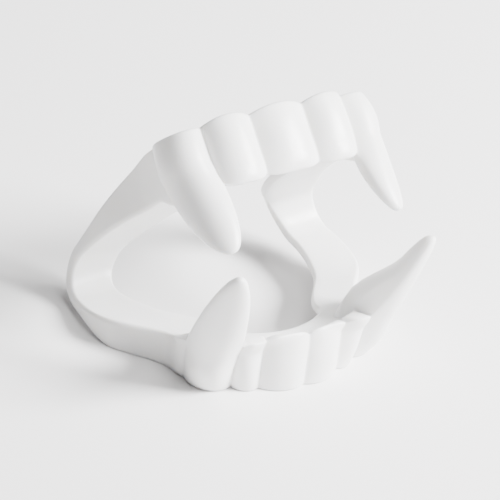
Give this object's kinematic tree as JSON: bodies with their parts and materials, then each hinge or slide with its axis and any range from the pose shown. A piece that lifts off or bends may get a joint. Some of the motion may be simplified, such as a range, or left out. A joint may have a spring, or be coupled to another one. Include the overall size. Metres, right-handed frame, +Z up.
{
  "type": "vampire fang denture",
  "caption": "Soft plastic vampire fangs: upper and lower tooth rows on one bite strap, joined at the back by two U-shaped arms.",
  "frame": {"origin": "on the ground under the middle of the bounding box", "axes": "+Z up with the lower jaw standing on its gum rim, front teeth facing -Y, +X to the viewer's right of the front"},
  "size_m": [0.0604, 0.0438, 0.0463],
  "materials": {
    "white_plastic": "satin"
  },
  "bodies": {
    "root": {"fang_denture": "white_plastic"}
  },
  "joints": []
}
